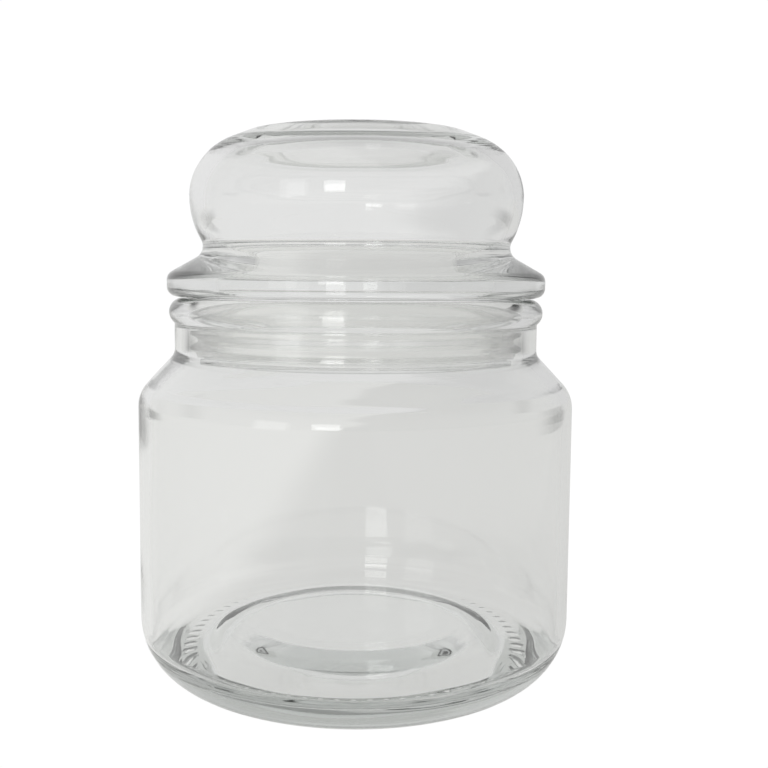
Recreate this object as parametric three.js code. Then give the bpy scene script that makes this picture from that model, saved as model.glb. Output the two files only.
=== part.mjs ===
// Lidded glass canister: a blown glass jar, a hollow glass lid with a plug that drops into the
// jar's neck, and the soft clear seal ring that the plug wears. Millimetres, +Z up, with the
// origin on the table at the middle of the jar's foot. Every piece is a solid of revolution
// about Z, so each one is a closed outline in (radius, height) that is turned once round.
import * as THREE from "three";

// ---- driving dimensions -------------------------------------------------------------------
const SEGMENTS = 48; // facets round each piece, a multiple of four so the box comes out exact
const ARC_STEP_DEG = 15; // angle that one straight step of a rounded corner spans

// jar, outside
const BODY_R = 50.5;
const HEEL_ROUND = 15; // from the wall down to the foot
const SHOULDER_Z = 67; // corner between the wall and the sloping shoulder
const SHOULDER_ROUND = 7.7;
const NECK_R = 42.1;
const NECK_Z = 76; // corner between the shoulder and the neck
const NECK_ROUND = 3;
const BEAD_R = 43.35; // widest part of the rolled rim
const BEAD_ROUND = 3.2;
const RIM_Z = 88.8;

// jar, inside and underneath
const BODY_WALL = 2.4;
const FLOOR_LOW_Z = 6.2; // corner between the wall and the floor, which rises to a raised middle
const FLOOR_ROUND = 4.5;
const FLOOR_TOP_R = 30;
const FLOOR_TOP_Z = 12.5;
const FLOOR_TOP_ROUND = 60;
const MOUTH_R = 38.9;
const MOUTH_ROUND = 1.2;
const INNER_SHOULDER_Z = 66.1;
const INNER_NECK_Z = 75.3;
const FOOT_INNER_R = 33.2; // inside edge of the flat ring that the jar stands on
const PUSH_UP_R = 28.5; // the underside is pushed up inside that ring
const PUSH_UP = 2.6;

// lid
const GAP = 0.3; // clearance between pieces that bear on each other
const SEAT_Z = RIM_Z + GAP; // underside of the flange
const FLANGE_R = 43.85;
const FLANGE_BOTTOM_R = 41.4;
const FLANGE_LOW_Z = 89.25;
const FLANGE_LOW_ROUND = 2.2;
const FLANGE_TOP_Z = 94.15;
const FLANGE_TOP_ROUND = 2.4;
const WAIST_R = 34.6; // corner between the flange's slope and the bubble
const WAIST_Z = 99.4;
const WAIST_ROUND = 3;
const BUBBLE_R = 38.55; // the hollow bubble that the hand grips
const BUBBLE_Z = 111.6;
const LOWER_ROUND = 19.2; // the bubble's curve below its widest part
const LOWER_DEG = -28; // where that curve leaves the waist
const UPPER_MIDDLE_R = 24.3; // centre of its curve above that part
const UPPER_ROUND = 14.3;
const CROWN_DEG = 64; // where that curve meets the raised ring of the crown
const CROWN_R = 24.2; // the raised ring
const CROWN_Z = 126.65;
const DISH_R = 17.5; // shallow dish inside the ring
const DISH_DEPTH = 2.1;
const LID_WALL = 2.6;
const CEILING_R = 30.25; // corner between the flat top of the hollow and its curved side
const CEILING_Z = 122.2;
const CEILING_ROUND = 7.9;
const CEILING_DEG = 45; // where that side's curve starts
const BORE_DEG = -20; // where it ends, above the bore
const BORE_ROUND = 20;
const BORE_R = 32.3; // inside of the plug and the waist
const PLUG_R = 36.4;
const PLUG_BOTTOM_Z = 73.4;
const PLUG_ROUND = 1.4;
const GROOVE_R = 35.2; // shallow groove in the plug that holds the seal ring
const GROOVE_LOW_Z = 75.6;
const GROOVE_HIGH_Z = 86.2;

// seal ring
const SLEEVE_OUT_R = 36.9;
const FIN_R = MOUTH_R - GAP;
const FIN_COUNT = 3;
const FIN_HEIGHT = 1.1;

// ---- outline helpers ----------------------------------------------------------------------
const point = (radius, height) => new THREE.Vector2(radius, height);

// Points along an ellipse about (centreR, centreZ), from one angle to another in degrees.
function arc(centreR, centreZ, radiusR, radiusZ, fromDeg, toDeg) {
  const steps = Math.max(2, Math.ceil(Math.abs(toDeg - fromDeg) / ARC_STEP_DEG));
  const points = [];
  for (let step = 0; step <= steps; step += 1) {
    const angle = THREE.MathUtils.degToRad(fromDeg + ((toDeg - fromDeg) * step) / steps);
    points.push(point(centreR + radiusR * Math.cos(angle), centreZ + radiusZ * Math.sin(angle)));
  }
  return points;
}

// The arc of the given radius that rounds off the corner between before and after.
function rounded(before, corner, after, radius) {
  const toBefore = before.clone().sub(corner).normalize();
  const toAfter = after.clone().sub(corner).normalize();
  const half = Math.acos(toBefore.dot(toAfter)) / 2;
  const middle = toBefore.clone().add(toAfter).normalize();
  const centre = corner.clone().addScaledVector(middle, radius / Math.sin(half));
  const start = corner.clone().addScaledVector(toBefore, radius / Math.tan(half)).sub(centre);
  const end = corner.clone().addScaledVector(toAfter, radius / Math.tan(half)).sub(centre);
  const fromDeg = THREE.MathUtils.radToDeg(start.angle());
  let sweep = THREE.MathUtils.radToDeg(end.angle()) - fromDeg;
  sweep -= 360 * Math.round(sweep / 360);
  return arc(centre.x, centre.y, radius, radius, fromDeg, fromDeg + sweep);
}

// Turns an outline about Z. The outline runs with the material on its left.
function turned(name, outline, material) {
  const geometry = new THREE.LatheGeometry(outline, SEGMENTS);
  geometry.rotateX(Math.PI / 2);
  const mesh = new THREE.Mesh(geometry, material);
  mesh.name = name;
  return mesh;
}

// ---- materials ----------------------------------------------------------------------------
const glass = new THREE.MeshStandardMaterial({
  color: 0xdfe4e1,
  roughness: 0.03,
  metalness: 0,
  transparent: true,
  opacity: 0.35,
});
const softClear = new THREE.MeshStandardMaterial({
  color: 0xe6e7e4,
  roughness: 0.35,
  metalness: 0,
  transparent: true,
  opacity: 0.6,
});

// ---- jar ----------------------------------------------------------------------------------
function jarOutline() {
  const heelCorner = point(BODY_R, 0);
  const shoulder = point(BODY_R, SHOULDER_Z);
  const neck = point(NECK_R, NECK_Z);
  const beadR = BEAD_R - BEAD_ROUND;
  const beadZ = RIM_Z - BEAD_ROUND;
  const beadStartDeg = -THREE.MathUtils.radToDeg(Math.acos((NECK_R - beadR) / BEAD_ROUND));
  const mouthCorner = point(MOUTH_R, RIM_Z);
  const innerNeck = point(MOUTH_R, INNER_NECK_Z);
  const innerR = BODY_R - BODY_WALL;
  const innerShoulder = point(innerR, INNER_SHOULDER_Z);
  const floorCorner = point(innerR, FLOOR_LOW_Z);
  const floorTop = point(FLOOR_TOP_R, FLOOR_TOP_Z);
  const floorMiddle = point(0, FLOOR_TOP_Z);
  return [
    point(0, PUSH_UP),
    point(PUSH_UP_R, PUSH_UP),
    point(FOOT_INNER_R, 0),
    ...rounded(point(FOOT_INNER_R, 0), heelCorner, shoulder, HEEL_ROUND),
    ...rounded(heelCorner, shoulder, neck, SHOULDER_ROUND),
    ...rounded(shoulder, neck, point(NECK_R, RIM_Z), NECK_ROUND),
    ...arc(beadR, beadZ, BEAD_ROUND, BEAD_ROUND, beadStartDeg, 90),
    ...rounded(point(beadR, RIM_Z), mouthCorner, innerNeck, MOUTH_ROUND),
    ...rounded(mouthCorner, innerNeck, innerShoulder, NECK_ROUND + BODY_WALL),
    ...rounded(innerNeck, innerShoulder, floorCorner, SHOULDER_ROUND - BODY_WALL),
    ...rounded(innerShoulder, floorCorner, floorTop, FLOOR_ROUND),
    ...rounded(floorCorner, floorTop, floorMiddle, FLOOR_TOP_ROUND),
    floorMiddle,
  ];
}

// ---- lid ----------------------------------------------------------------------------------
function lidOutline() {
  const flangeBottom = point(FLANGE_BOTTOM_R, SEAT_Z);
  const flangeLow = point(FLANGE_R, FLANGE_LOW_Z);
  const flangeTop = point(FLANGE_R, FLANGE_TOP_Z);
  const waist = point(WAIST_R, WAIST_Z);
  const plugCorner = point(PLUG_R, PLUG_BOTTOM_Z);
  const boreCorner = point(BORE_R, PLUG_BOTTOM_Z);
  const lowerMiddleR = BUBBLE_R - LOWER_ROUND;
  const bubbleLower = arc(lowerMiddleR, BUBBLE_Z, LOWER_ROUND, LOWER_ROUND, LOWER_DEG, 0);
  const bubbleUpper = arc(UPPER_MIDDLE_R, BUBBLE_Z, UPPER_ROUND, UPPER_ROUND, 0, CROWN_DEG);
  const innerUpperR = UPPER_ROUND - LID_WALL;
  const innerLowerR = LOWER_ROUND - LID_WALL;
  const hollowUpper = arc(UPPER_MIDDLE_R, BUBBLE_Z, innerUpperR, innerUpperR, CEILING_DEG, 0);
  const hollowLower = arc(lowerMiddleR, BUBBLE_Z, innerLowerR, innerLowerR, 0, BORE_DEG);
  const hollowEnd = hollowLower[hollowLower.length - 1];
  const boreDrop = (hollowEnd.x - BORE_R) / Math.tan(THREE.MathUtils.degToRad(-BORE_DEG));
  const boreTop = point(BORE_R, hollowEnd.y - boreDrop);
  const ceilingMiddle = point(0, CEILING_Z);
  const ceilingCorner = point(CEILING_R, CEILING_Z);
  const dishZ = CROWN_Z - DISH_DEPTH;
  return [
    ...rounded(boreCorner, plugCorner, point(PLUG_R, GROOVE_LOW_Z), PLUG_ROUND),
    point(PLUG_R, GROOVE_LOW_Z),
    point(GROOVE_R, GROOVE_LOW_Z),
    point(GROOVE_R, GROOVE_HIGH_Z),
    point(PLUG_R, GROOVE_HIGH_Z),
    point(PLUG_R, SEAT_Z),
    flangeBottom,
    ...rounded(flangeBottom, flangeLow, flangeTop, FLANGE_LOW_ROUND),
    ...rounded(flangeLow, flangeTop, waist, FLANGE_TOP_ROUND),
    ...rounded(flangeTop, waist, bubbleLower[0], WAIST_ROUND),
    ...bubbleLower,
    ...bubbleUpper.slice(1),
    point(CROWN_R + 1.5, CROWN_Z - 0.25),
    point(CROWN_R, CROWN_Z),
    point(CROWN_R - 1.5, CROWN_Z - 0.25),
    point(DISH_R, dishZ),
    point(0, dishZ),
    ceilingMiddle,
    ...rounded(ceilingMiddle, ceilingCorner, hollowUpper[0], CEILING_ROUND),
    ...hollowUpper.slice(1),
    ...hollowLower.slice(1),
    ...rounded(hollowEnd, boreTop, boreCorner, BORE_ROUND),
    ...rounded(boreTop, boreCorner, plugCorner, PLUG_ROUND),
  ];
}

// ---- seal ring ----------------------------------------------------------------------------
// A sleeve in the plug's groove, with fins round it that press on the jar's neck.
function sealOutline() {
  const innerR = GROOVE_R + GAP;
  const bottom = GROOVE_LOW_Z + GAP;
  const top = GROOVE_HIGH_Z - GAP;
  const pitch = (top - bottom) / FIN_COUNT;
  const outline = [point(innerR, bottom), point(SLEEVE_OUT_R, bottom)];
  for (let fin = 0; fin < FIN_COUNT; fin += 1) {
    const finZ = bottom + pitch * (fin + 0.5);
    outline.push(point(SLEEVE_OUT_R, finZ - FIN_HEIGHT));
    outline.push(point(FIN_R, finZ));
    outline.push(point(FIN_R, finZ + FIN_HEIGHT / 2));
    outline.push(point(SLEEVE_OUT_R, finZ + FIN_HEIGHT));
  }
  outline.push(point(SLEEVE_OUT_R, top), point(innerR, top));
  return outline;
}

const closed = (outline) => [...outline, outline[0].clone()];

const canister = new THREE.Group();
canister.add(turned("jar", jarOutline(), glass));
canister.add(turned("lid", closed(lidOutline()), glass));
canister.add(turned("seal_ring", closed(sealOutline()), softClear));

export default canister;
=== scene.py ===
"""Lidded glass canister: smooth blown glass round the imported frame, on a pale studio sweep."""
import math

import bpy
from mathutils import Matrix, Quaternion, Vector, noise


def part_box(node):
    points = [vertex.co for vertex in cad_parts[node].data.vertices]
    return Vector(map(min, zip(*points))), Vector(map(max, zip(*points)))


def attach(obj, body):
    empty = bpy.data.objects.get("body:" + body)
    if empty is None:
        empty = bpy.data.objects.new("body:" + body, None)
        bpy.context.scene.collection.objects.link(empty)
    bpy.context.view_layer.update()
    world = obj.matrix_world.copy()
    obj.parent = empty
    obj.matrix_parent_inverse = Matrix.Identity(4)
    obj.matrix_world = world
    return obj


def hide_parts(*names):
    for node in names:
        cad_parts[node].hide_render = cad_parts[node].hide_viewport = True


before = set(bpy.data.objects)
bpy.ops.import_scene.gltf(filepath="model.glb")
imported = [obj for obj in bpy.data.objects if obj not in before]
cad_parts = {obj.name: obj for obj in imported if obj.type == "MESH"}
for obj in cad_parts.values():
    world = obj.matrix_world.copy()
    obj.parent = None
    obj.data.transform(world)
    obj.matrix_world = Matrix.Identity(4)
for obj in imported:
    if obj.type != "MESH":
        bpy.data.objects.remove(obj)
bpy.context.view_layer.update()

MM = 0.001


def size_of(node):
    """A node's greatest radius, lowest height and highest height, in millimetres."""
    low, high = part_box(node)
    return (high[0] - low[0]) / 2 / MM, low[2] / MM, high[2] / MM


BODY_R, _, RIM_Z = size_of("jar")
FLANGE_R, PLUG_Z, CROWN_Z = size_of("lid")
FIN_R, SEAL_LOW_Z, SEAL_HIGH_Z = size_of("seal_ring")

# ---- outlines: (radius, height) points in millimetres ----------------------------------------


def arc(centre, radii, start, end, step=4.0):
    """Points along an ellipse from one angle to another, in degrees."""
    count = max(3, int(math.ceil(abs(end - start) / step)))
    points = []
    for i in range(count + 1):
        a = math.radians(start + (end - start) * i / count)
        points.append((centre[0] + radii[0] * math.cos(a), centre[1] + radii[1] * math.sin(a)))
    return points


def rounded(before, corner, after, radius, step=6.0):
    """The arc of the given radius that rounds the corner between two straight runs."""
    corner = Vector(corner)
    a = (Vector(before) - corner).normalized()
    b = (Vector(after) - corner).normalized()
    half = math.acos(max(-1.0, min(1.0, a.dot(b)))) / 2
    centre = corner + (a + b).normalized() * (radius / math.sin(half))
    first = corner + a * (radius / math.tan(half)) - centre
    last = corner + b * (radius / math.tan(half)) - centre
    start = math.degrees(math.atan2(first.y, first.x))
    sweep = math.degrees(math.atan2(last.y, last.x)) - start
    sweep = (sweep + 180) % 360 - 180
    return arc(centre, (radius, radius), start, start + sweep, step)


def outline(corners, closed=False):
    """Rounds every (radius, height, rounding) corner and joins the results in order."""
    points = []
    for i, (r, z, rounding) in enumerate(corners):
        ends = not closed and i in (0, len(corners) - 1)
        if rounding == 0 or ends:
            points.append((r, z))
            continue
        before = corners[i - 1][:2]
        after = corners[(i + 1) % len(corners)][:2]
        points += rounded(before, (r, z), after, rounding)
    return points


def evened(points, longest, closed=False):
    """Splits every run that is longer than the given length."""
    even = []
    count = len(points) if closed else len(points) - 1
    for i in range(count):
        a, b = Vector(points[i]), Vector(points[(i + 1) % len(points)])
        pieces = max(1, int(math.ceil((b - a).length / longest)))
        even += [tuple(a.lerp(b, k / pieces)) for k in range(pieces)]
    if not closed:
        even.append(points[-1])
    return even


def turned(name, points, segments, shape=None):
    """Turns an outline about Z into a closed smooth mesh. shape moves each point of it."""
    verts, faces, rings = [], [], []
    for r, z in points:
        if r < 1e-6:
            rings.append([len(verts)])
            verts.append((0.0, 0.0, z * MM))
            continue
        ring = []
        for s in range(segments):
            angle = 2 * math.pi * s / segments
            pr, pz = shape(r, z, angle) if shape else (r, z)
            ring.append(len(verts))
            verts.append((pr * math.cos(angle) * MM, pr * math.sin(angle) * MM, pz * MM))
        rings.append(ring)
    closed = points[0][0] > 1e-6
    pairs = [(rings[i], rings[i + 1]) for i in range(len(rings) - 1)]
    if closed:
        pairs.append((rings[-1], rings[0]))
    for low, high in pairs:
        for s in range(segments):
            t = (s + 1) % segments
            if len(low) == 1:
                faces.append((low[0], high[t], high[s]))
            elif len(high) == 1:
                faces.append((low[s], low[t], high[0]))
            else:
                faces.append((low[s], low[t], high[t], high[s]))
    mesh = bpy.data.meshes.new(name)
    mesh.from_pydata(verts, [], faces)
    mesh.polygons.foreach_set("use_smooth", [True] * len(faces))
    mesh.update()
    piece = bpy.data.objects.new(name, mesh)
    bpy.context.scene.collection.objects.link(piece)
    return piece


def ripple(angle, z, wave, seed):
    """A soft unevenness that closes on itself round the axis, between about -1 and 1."""
    radius = BODY_R / wave
    spot = (radius * math.cos(angle), radius * math.sin(angle), z / wave + seed)
    return noise.noise(Vector(spot), noise_basis="PERLIN_ORIGINAL")


# ---- jar --------------------------------------------------------------------------------------
GAP = 0.3  # clearance between pieces that bear on each other
WALL = 2.4
HEEL_ROUND = 15.0
SHOULDER_Z = 67.0
SHOULDER_ROUND = 7.7
NECK_R = 42.1
NECK_Z = 76.0
NECK_ROUND = 3.0
BEAD_R = 43.35
BEAD_ROUND = 3.2
BEAD_START_DEG = -52
BEAD_END_DEG = 88
MOUTH_R = FIN_R + GAP
MOUTH_ROUND = 1.2
INNER_NECK_Z = 75.3
INNER_NECK_ROUND = 4.8
INNER_SHOULDER_Z = 66.1
INNER_SHOULDER_ROUND = 5.3
FLOOR_LOW_Z = 6.2
FLOOR_LOW_ROUND = 4.5
FLOOR_TOP_Z = 12.5
FLOOR_TOP_R = 30.0
FLOOR_TOP_ROUND = 60.0
FOOT_INNER_R = 33.2
FOOT_ROUND = 5.0
PUSH_UP_R = 28.5
PUSH_UP = 2.6
PUSH_UP_ROUND = 12.0

DOTS = 68  # pits in the ring that the jar stands on
DOT_RING_R = 37.5
DOT_R = 0.8
DOT_DEPTH = 0.4
DOTS_BELOW_Z = 2.0
UNEVEN = 0.25  # how far blown glass wanders from its outline
JAR_UNEVEN_R = (BODY_R - WALL - 0.2, BODY_R - 1.5)
JAR_UNEVEN_BELOW_Z = 74.0
JAR_WAVE = 30.0
JAR_SEED = 3.0
JAR_SEGMENTS = DOTS * 8
JAR_STEP = 1.0


def jar_points():
    """The jar's outline, from the middle of its underside round to the middle of its floor."""
    outer = outline([
        (0, PUSH_UP, 0),
        (PUSH_UP_R, PUSH_UP, PUSH_UP_ROUND),
        (FOOT_INNER_R, 0, FOOT_ROUND),
        (BODY_R, 0, HEEL_ROUND),
        (BODY_R, SHOULDER_Z, SHOULDER_ROUND),
        (NECK_R, NECK_Z, NECK_ROUND),
        (NECK_R, RIM_Z, 0),
    ])
    bead_middle = (BEAD_R - BEAD_ROUND, RIM_Z - BEAD_ROUND)
    bead = arc(bead_middle, (BEAD_ROUND, BEAD_ROUND), BEAD_START_DEG, BEAD_END_DEG)
    inner = outline([
        (BEAD_R - BEAD_ROUND, RIM_Z, 0),
        (MOUTH_R, RIM_Z, MOUTH_ROUND),
        (MOUTH_R, INNER_NECK_Z, INNER_NECK_ROUND),
        (BODY_R - WALL, INNER_SHOULDER_Z, INNER_SHOULDER_ROUND),
        (BODY_R - WALL, FLOOR_LOW_Z, FLOOR_LOW_ROUND),
        (FLOOR_TOP_R, FLOOR_TOP_Z, FLOOR_TOP_ROUND),
        (0, FLOOR_TOP_Z, 0),
    ])
    return evened(outer[:-1] + bead + inner, JAR_STEP)


def jar_shape(r, z, angle):
    """Pits in the ring that the jar stands on, and the slight unevenness of the blown wall."""
    if z < DOTS_BELOW_Z:
        turn = angle * DOTS / (2 * math.pi)
        along = (turn - round(turn)) * 2 * math.pi * r / DOTS
        away = math.hypot(along, r - DOT_RING_R) / DOT_R
        z += DOT_DEPTH * max(0.0, 1 - away * away)
    elif JAR_UNEVEN_R[0] < r < JAR_UNEVEN_R[1] and z < JAR_UNEVEN_BELOW_Z:
        r += UNEVEN * ripple(angle, z, JAR_WAVE, JAR_SEED)
    return r, z


jar = turned("jar_glass", jar_points(), JAR_SEGMENTS, jar_shape)

# ---- lid --------------------------------------------------------------------------------------
SEAT_Z = RIM_Z + GAP
FLANGE_BOTTOM_R = 41.4
FLANGE_BOTTOM_ROUND = 0.6
FLANGE_LEAN = 0.1
FLANGE_LOW_Z = 89.25
FLANGE_LOW_ROUND = 2.2
FLANGE_TOP_Z = 94.15
FLANGE_TOP_ROUND = 2.4
WAIST_R = 34.6
WAIST_Z = 99.4
WAIST_ROUND = 3.0
BUBBLE_R = 38.55
BUBBLE_Z = 111.6
LOWER_ROUND = 19.2
LOWER_DEG = -28.0
INNER_LOWER_DEG = -20.0
UPPER_MIDDLE_R = 24.3
UPPER_ROUND = 14.3
CROWN_DEG = 64
CROWN_R = 24.2
CROWN_CORNER = 0.35  # the crown's corner stands this far above its rounding
CROWN_ROUND = 5.0
DISH_R = 17.5
DISH_DEPTH = 2.1
DISH_ROUND = 3.0
CEILING_R = 30.25
CEILING_Z = 122.2
CEILING_ROUND = 7.9
CEILING_DEG = 45.0
LID_WALL = 2.6
BORE_R = 32.3
BORE_TOP_ROUND = 20.0
BORE_ROUND = 1.6
PLUG_R = 36.4
PLUG_ROUND = 1.4
PLUG_TOP_ROUND = 0.5
GROOVE_R = 35.2
GROOVE_ROUND = 0.3
ARC_GAP_DEG = 3  # left out where two arcs of the bubble meet
LID_UNEVEN_ABOVE_Z = WAIST_Z - 2
LID_UNEVEN_BELOW_R = BUBBLE_R - 1.5
CEILING_EVEN_R = 26
CEILING_EVEN_Z = CROWN_Z - 3.5
LID_WAVE = 22.0
LID_SEED = 15.0
LID_SEGMENTS = 240
LID_STEP = 1.5


def lid_points():
    """The lid's outline, from the middle of its ceiling round to the middle of its dish."""
    lower_middle = (BUBBLE_R - LOWER_ROUND, BUBBLE_Z)
    upper_middle = (UPPER_MIDDLE_R, BUBBLE_Z)
    inner_lower = LOWER_ROUND - LID_WALL
    inner_upper = UPPER_ROUND - LID_WALL
    dish_z = CROWN_Z - DISH_DEPTH
    upper = arc(upper_middle, (inner_upper, inner_upper), CEILING_DEG, 0)
    lower = arc(lower_middle, (inner_lower, inner_lower), -ARC_GAP_DEG, INNER_LOWER_DEG)
    bore_drop = (lower[-1][0] - BORE_R) / math.tan(math.radians(-INNER_LOWER_DEG))
    bubble = arc(lower_middle, (LOWER_ROUND, LOWER_ROUND), LOWER_DEG, 0)
    shoulder = arc(upper_middle, (UPPER_ROUND, UPPER_ROUND), ARC_GAP_DEG, CROWN_DEG)
    inside = outline([
        (0, CEILING_Z, 0),
        (CEILING_R, CEILING_Z, CEILING_ROUND),
        upper[0] + (0,),
    ])
    inside += upper[1:] + lower[:-1]
    plug = outline([
        lower[-1] + (0,),
        (BORE_R, lower[-1][1] - bore_drop, BORE_TOP_ROUND),
        (BORE_R, PLUG_Z, BORE_ROUND),
        (PLUG_R, PLUG_Z, PLUG_ROUND),
        (PLUG_R, SEAL_LOW_Z - GAP, GROOVE_ROUND),
        (GROOVE_R, SEAL_LOW_Z - GAP, GROOVE_ROUND),
        (GROOVE_R, SEAL_HIGH_Z + GAP, GROOVE_ROUND),
        (PLUG_R, SEAL_HIGH_Z + GAP, GROOVE_ROUND),
        (PLUG_R, SEAT_Z, PLUG_TOP_ROUND),
        (FLANGE_BOTTOM_R, SEAT_Z, FLANGE_BOTTOM_ROUND),
        (FLANGE_R - FLANGE_LEAN, FLANGE_LOW_Z, FLANGE_LOW_ROUND),
        (FLANGE_R, FLANGE_TOP_Z, FLANGE_TOP_ROUND),
        (WAIST_R, WAIST_Z, WAIST_ROUND),
        bubble[0] + (0,),
    ])
    crown = outline([
        shoulder[-1] + (0,),
        (CROWN_R, CROWN_Z + CROWN_CORNER, CROWN_ROUND),
        (DISH_R, dish_z, DISH_ROUND),
        (0, dish_z, 0),
    ])
    return evened(inside + plug[:-1] + bubble + shoulder + crown[1:], LID_STEP)


def lid_shape(r, z, angle):
    """The slight unevenness of the blown bubble, apart from its flat ceiling and crown."""
    level = z > CEILING_EVEN_Z and r < CEILING_EVEN_R
    if z > LID_UNEVEN_ABOVE_Z and r < LID_UNEVEN_BELOW_R and not level:
        r += UNEVEN * ripple(angle, z, LID_WAVE, LID_SEED) * min(1.0, r / 10)
    return r, z


lid = turned("lid_glass", lid_points(), LID_SEGMENTS, lid_shape)

# ---- seal ring ----------------------------------------------------------------------------------
SLEEVE_IN_R = GROOVE_R + GAP
SLEEVE_OUT_R = 36.9
SLEEVE_ROUND = 0.3
FIN_COUNT = 3
FIN_REACH = 1.1  # height of a fin's slope below and above its middle
FIN_FLAT = 0.5
FIN_ROUND = 0.2
SEAL_SEGMENTS = 240
SEAL_STEP = 1.5


def seal_points():
    """The ring's section: a sleeve with fins on its outside."""
    pitch = (SEAL_HIGH_Z - SEAL_LOW_Z) / FIN_COUNT
    corners = [(SLEEVE_IN_R, SEAL_LOW_Z, SLEEVE_ROUND), (SLEEVE_OUT_R, SEAL_LOW_Z, SLEEVE_ROUND)]
    for fin in range(FIN_COUNT):
        z = SEAL_LOW_Z + pitch * (fin + 0.5)
        corners += [
            (SLEEVE_OUT_R, z - FIN_REACH, SLEEVE_ROUND),
            (FIN_R, z, FIN_ROUND),
            (FIN_R, z + FIN_FLAT, FIN_ROUND),
            (SLEEVE_OUT_R, z + FIN_REACH, SLEEVE_ROUND),
        ]
    corners += [(SLEEVE_OUT_R, SEAL_HIGH_Z, SLEEVE_ROUND), (SLEEVE_IN_R, SEAL_HIGH_Z, SLEEVE_ROUND)]
    return evened(outline(corners, closed=True), SEAL_STEP, closed=True)


seal = turned("seal_ring_soft", seal_points(), SEAL_SEGMENTS)

# ---- materials ----------------------------------------------------------------------------------
GLASS_TINT = (0.995, 0.997, 0.994)
GLASS_DEPTH_COLOUR = (0.6, 0.63, 0.61, 1)
JAR_DENSITY = 13.0
LID_DENSITY = 9.0


def glass_material(name, density):
    """Clear glass with a grey-green depth colour, faint smears and faint mould waves."""
    material = bpy.data.materials.new(name)
    material.use_nodes = True
    nodes, links = material.node_tree.nodes, material.node_tree.links
    shader = nodes["Principled BSDF"]
    shader.inputs["Base Color"].default_value = (*GLASS_TINT, 1)
    shader.inputs["Transmission Weight"].default_value = 1.0
    shader.inputs["IOR"].default_value = 1.5
    place = nodes.new("ShaderNodeTexCoord")
    smear = nodes.new("ShaderNodeTexNoise")
    smear.inputs["Scale"].default_value = 60.0
    smear.inputs["Detail"].default_value = 4.0
    spread = nodes.new("ShaderNodeMapRange")
    spread.inputs["From Min"].default_value = 0.45
    spread.inputs["From Max"].default_value = 0.8
    spread.inputs["To Min"].default_value = 0.0
    spread.inputs["To Max"].default_value = 0.06
    links.new(place.outputs["Object"], smear.inputs["Vector"])
    links.new(smear.outputs["Fac"], spread.inputs["Value"])
    links.new(spread.outputs["Result"], shader.inputs["Roughness"])
    wave = nodes.new("ShaderNodeTexNoise")
    wave.inputs["Scale"].default_value = 35.0
    wave.inputs["Detail"].default_value = 1.0
    bump = nodes.new("ShaderNodeBump")
    bump.inputs["Strength"].default_value = 0.05
    bump.inputs["Distance"].default_value = 0.002
    links.new(place.outputs["Object"], wave.inputs["Vector"])
    links.new(wave.outputs["Fac"], bump.inputs["Height"])
    links.new(bump.outputs["Normal"], shader.inputs["Normal"])
    depth = nodes.new("ShaderNodeVolumeAbsorption")
    depth.inputs["Color"].default_value = GLASS_DEPTH_COLOUR
    depth.inputs["Density"].default_value = density
    links.new(depth.outputs["Volume"], nodes["Material Output"].inputs["Volume"])
    return material


def soft_material(name):
    """Hazy soft clear plastic with fine moulding grain."""
    material = bpy.data.materials.new(name)
    material.use_nodes = True
    nodes, links = material.node_tree.nodes, material.node_tree.links
    shader = nodes["Principled BSDF"]
    shader.inputs["Base Color"].default_value = (0.99, 0.99, 0.985, 1)
    shader.inputs["Transmission Weight"].default_value = 1.0
    shader.inputs["IOR"].default_value = 1.15
    place = nodes.new("ShaderNodeTexCoord")
    grain = nodes.new("ShaderNodeTexNoise")
    grain.inputs["Scale"].default_value = 400.0
    spread = nodes.new("ShaderNodeMapRange")
    spread.inputs["To Min"].default_value = 0.16
    spread.inputs["To Max"].default_value = 0.24
    links.new(place.outputs["Object"], grain.inputs["Vector"])
    links.new(grain.outputs["Fac"], spread.inputs["Value"])
    links.new(spread.outputs["Result"], shader.inputs["Roughness"])
    return material


jar.data.materials.append(glass_material("jar_glass", JAR_DENSITY))
lid.data.materials.append(glass_material("lid_glass", LID_DENSITY))
seal.data.materials.append(soft_material("soft_clear"))

for piece, body, node, slot in (
    (jar, "jar", "jar", "jar_glass"),
    (lid, "lid", "lid", "lid_glass"),
    (seal, "seal_ring", "seal_ring", "soft_clear"),
):
    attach(piece, body)
    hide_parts(node)

# ---- studio -------------------------------------------------------------------------------------
# The room behind is lighter on its left, and the edge of that light leans to the right upwards.
EDGE_LEAN = (1.0, -0.058, -0.6)
EDGE_SOFT = 0.05
# Painted shadow: on the floor the glow drops to the dim side's level right of this line, standing
# in for the canister's cast shadow.
FLOOR_SHADOW_EDGE = -0.0417
FLOOR_SHADOW_SOFT = 0.012
DIM_SIDE = 0.85
WHITE = 1.02  # what the camera sees behind and under the canister
FLOOR_HALF = 6.0
FLOOR_DROP = 0.0002
FLOOR_GREY = (0.25, 0.25, 0.245, 1)
FLOOR_GLOW_COLOUR = (1, 1, 0.985, 1)
FLOOR_GLOW = 0.65
UNDER_NEAR = 0.035  # painted light: the floor's glow is a little stronger right under the jar
UNDER_FAR = 0.075
UNDER_PAINTED_GLOW = 1.14
FRONT_LEVEL = 0.75
FRONT_TO_BACK = 0.9
CEILING_FROM = 0.4
CEILING_TO = 0.95
CEILING_LEVEL = 0.55
CARD_GREY = (0.03, 0.03, 0.03, 1)
CARD_SOLID = 0.4  # the share of a card's height below which it doesn't fade
LAMP_AIM_Z = 0.08


def faded(nodes, links, value, start, end, before, after):
    """A soft step of the value: before up to start, after from end on."""
    step = nodes.new("ShaderNodeMapRange")
    step.interpolation_type = "SMOOTHSTEP"
    step.inputs["From Min"].default_value = start
    step.inputs["From Max"].default_value = end
    step.inputs["To Min"].default_value = before
    step.inputs["To Max"].default_value = after
    links.new(value, step.inputs["Value"])
    return step.outputs["Result"]


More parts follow.
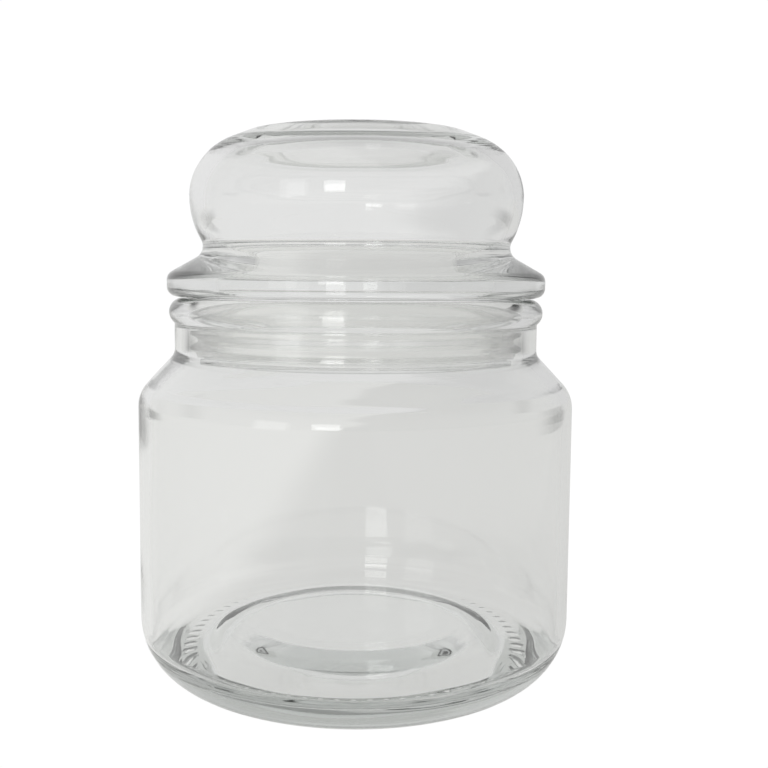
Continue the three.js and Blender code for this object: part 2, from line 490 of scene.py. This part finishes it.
def product(nodes, links, first, second):
    """The product of a node's output and either another output or a plain number."""
    times = nodes.new("ShaderNodeMath")
    times.operation = "MULTIPLY"
    links.new(first, times.inputs[0])
    if isinstance(second, float):
        times.inputs[1].default_value = second
    else:
        links.new(second, times.inputs[1])
    return times.outputs["Value"]


def leaning(nodes, links, place):
    """How far a direction or a floor point is to the right of the edge of the light."""
    lean = nodes.new("ShaderNodeVectorMath")
    lean.operation = "DOT_PRODUCT"
    lean.inputs[1].default_value = EDGE_LEAN
    links.new(place, lean.inputs[0])
    return lean.outputs["Value"]


def floor():
    """A floor that is white to the camera and pale grey to the glass, with a painted shadow and a
    painted pool of light in its glow.
    """
    low, high = -FLOOR_HALF, FLOOR_HALF
    corners = [(low, low), (high, low), (high, high), (low, high)]
    mesh = bpy.data.meshes.new("floor")
    mesh.from_pydata([(x, y, -FLOOR_DROP) for x, y in corners], [], [(0, 1, 2, 3)])
    plane = bpy.data.objects.new("floor", mesh)
    bpy.context.scene.collection.objects.link(plane)
    material = bpy.data.materials.new("floor_paper")
    material.use_nodes = True
    nodes, links = material.node_tree.nodes, material.node_tree.links
    shader = nodes["Principled BSDF"]
    shader.inputs["Base Color"].default_value = FLOOR_GREY
    shader.inputs["Roughness"].default_value = 0.9
    shader.inputs["Specular IOR Level"].default_value = 0.0
    shader.inputs["Emission Color"].default_value = FLOOR_GLOW_COLOUR
    place = nodes.new("ShaderNodeTexCoord")
    # painted shadow: the glow is dimmer right of the edge line
    side = leaning(nodes, links, place.outputs["Object"])
    start, end = FLOOR_SHADOW_EDGE - FLOOR_SHADOW_SOFT, FLOOR_SHADOW_EDGE + FLOOR_SHADOW_SOFT
    level = faded(nodes, links, side, start, end, 1.0, DIM_SIDE)
    # painted pool of light: the glow rises right under the jar
    away = nodes.new("ShaderNodeVectorMath")
    away.operation = "LENGTH"
    links.new(place.outputs["Object"], away.inputs[0])
    under = faded(nodes, links, away.outputs["Value"], UNDER_NEAR, UNDER_FAR, UNDER_PAINTED_GLOW, 1.0)
    level = product(nodes, links, level, under)
    links.new(product(nodes, links, level, FLOOR_GLOW), shader.inputs["Emission Strength"])
    glow = nodes.new("ShaderNodeEmission")
    glow.inputs["Color"].default_value = (1, 1, 1, 1)
    glow.inputs["Strength"].default_value = WHITE
    mix = nodes.new("ShaderNodeMixShader")
    ray = nodes.new("ShaderNodeLightPath")
    links.new(ray.outputs["Is Camera Ray"], mix.inputs["Fac"])
    links.new(shader.outputs["BSDF"], mix.inputs[1])
    links.new(glow.outputs["Emission"], mix.inputs[2])
    links.new(mix.outputs["Shader"], nodes["Material Output"].inputs["Surface"])
    plane.data.materials.append(material)


def studio_world():
    """White to the camera; to the glass, a pale room, dimmer at its right, front and top."""
    world = bpy.data.worlds.new("studio")
    bpy.context.scene.world = world
    world.use_nodes = True
    nodes, links = world.node_tree.nodes, world.node_tree.links
    nodes.clear()
    out = nodes.new("ShaderNodeOutputWorld")
    place = nodes.new("ShaderNodeTexCoord")
    toward = place.outputs["Generated"]
    split = nodes.new("ShaderNodeSeparateXYZ")
    links.new(toward, split.inputs["Vector"])
    back, front = FRONT_TO_BACK, -FRONT_TO_BACK
    depth = faded(nodes, links, split.outputs["Y"], front, back, FRONT_LEVEL, 1.0)
    side = leaning(nodes, links, toward)
    lean = faded(nodes, links, side, -EDGE_SOFT, EDGE_SOFT, 1.0, DIM_SIDE)
    high = split.outputs["Z"]
    ceiling = faded(nodes, links, high, CEILING_FROM, CEILING_TO, 1.0, CEILING_LEVEL)
    level = product(nodes, links, product(nodes, links, depth, lean), ceiling)
    room = nodes.new("ShaderNodeBackground")
    links.new(level, room.inputs["Strength"])
    white = nodes.new("ShaderNodeBackground")
    white.inputs["Color"].default_value = (1, 1, 1, 1)
    white.inputs["Strength"].default_value = WHITE
    ray = nodes.new("ShaderNodeLightPath")
    mix = nodes.new("ShaderNodeMixShader")
    links.new(ray.outputs["Is Camera Ray"], mix.inputs["Fac"])
    links.new(room.outputs["Background"], mix.inputs[1])
    links.new(white.outputs["Background"], mix.inputs[2])
    links.new(mix.outputs["Shader"], out.inputs["Surface"])


def card(name, azimuth, distance, width, height):
    """A soft-edged dark card that stands behind the canister and shows only in the glass."""
    half = width / 2
    corners = [(-half, 0, 0), (half, 0, 0), (half, 0, height), (-half, 0, height)]
    mesh = bpy.data.meshes.new(name)
    mesh.from_pydata(corners, [], [(0, 1, 2, 3)])
    flag = bpy.data.objects.new(name, mesh)
    a = math.radians(azimuth)
    flag.location = Vector((math.sin(a), math.cos(a), 0)) * distance
    flag.rotation_euler = (0, 0, -a)
    flag.visible_camera = False
    flag.visible_shadow = False
    bpy.context.scene.collection.objects.link(flag)
    material = bpy.data.materials.new("card_cloth")
    material.use_nodes = True
    nodes, links = material.node_tree.nodes, material.node_tree.links
    shader = nodes["Principled BSDF"]
    shader.inputs["Base Color"].default_value = CARD_GREY
    shader.inputs["Roughness"].default_value = 0.9
    place = nodes.new("ShaderNodeTexCoord")
    split = nodes.new("ShaderNodeSeparateXYZ")
    links.new(place.outputs["Object"], split.inputs["Vector"])
    aside = nodes.new("ShaderNodeMath")
    aside.operation = "ABSOLUTE"
    links.new(split.outputs["X"], aside.inputs[0])
    across = faded(nodes, links, aside.outputs["Value"], 0.0, half, 1.0, 0.0)
    upward = faded(nodes, links, split.outputs["Z"], height * CARD_SOLID, height, 1.0, 0.0)
    clear = nodes.new("ShaderNodeBsdfTransparent")
    mix = nodes.new("ShaderNodeMixShader")
    links.new(product(nodes, links, across, upward), mix.inputs["Fac"])
    links.new(clear.outputs["BSDF"], mix.inputs[1])
    links.new(shader.outputs["BSDF"], mix.inputs[2])
    links.new(mix.outputs["Shader"], nodes["Material Output"].inputs["Surface"])
    flag.data.materials.append(material)


def window(name, azimuth, elevation, distance, width, height, power):
    """A window-like lamp that faces the canister's neck, placed by its direction from it."""
    lamp = bpy.data.lights.new(name, "AREA")
    lamp.shape = "RECTANGLE"
    lamp.size = width
    lamp.size_y = height
    lamp.energy = power
    holder = bpy.data.objects.new(name, lamp)
    a, e = math.radians(azimuth), math.radians(elevation)
    away = Vector((math.sin(a) * math.cos(e), -math.cos(a) * math.cos(e), math.sin(e)))
    holder.location = Vector((0, 0, LAMP_AIM_Z)) + away * distance
    holder.rotation_euler = away.to_track_quat("Z", "Y").to_euler()
    bpy.context.scene.collection.objects.link(holder)
    return holder


floor()
studio_world()
card("left_card", azimuth=-55, distance=0.5, width=0.24, height=0.08)
card("right_card", azimuth=60, distance=0.5, width=0.34, height=0.08)
window("main_window", azimuth=-14, elevation=7, distance=1.0, width=0.24, height=0.28, power=0.7)
window("side_window", azimuth=-42, elevation=7, distance=1.0, width=0.3, height=0.39, power=0.35)
key = window("key", azimuth=-38, elevation=32, distance=1.4, width=0.5, height=0.5, power=4.0)
key.visible_glossy = False
key.visible_transmission = False

# ---- camera -------------------------------------------------------------------------------------
SENSOR = 36.0
LENS = 51.5625
SIDE_SHIFT = 0.0373046875  # of the frame's width; the canister stands left of the middle
CAMERA_BACK = 259.3 * MM
CAMERA_UP = 94.6 * MM
PITCH = math.radians(5.76)
ROLL = math.radians(0.36)

camera = bpy.data.cameras.new("camera")
camera.sensor_width = SENSOR
camera.lens = LENS
camera.shift_x = SIDE_SHIFT
camera.clip_start = 0.01
viewer = bpy.data.objects.new("camera", camera)
viewer.location = (0, -CAMERA_BACK, CAMERA_UP)
look = Vector((0, math.cos(PITCH), -math.sin(PITCH)))
viewer.rotation_mode = "QUATERNION"
viewer.rotation_quaternion = look.to_track_quat("-Z", "Y")
viewer.rotation_quaternion.rotate(Quaternion(look, -ROLL))
bpy.context.scene.collection.objects.link(viewer)
bpy.context.scene.camera = viewer

scene = bpy.context.scene
scene.view_settings.view_transform = "Standard"
scene.cycles.max_bounces = 32
scene.cycles.transmission_bounces = 32
scene.cycles.glossy_bounces = 16
scene.cycles.use_denoising = True
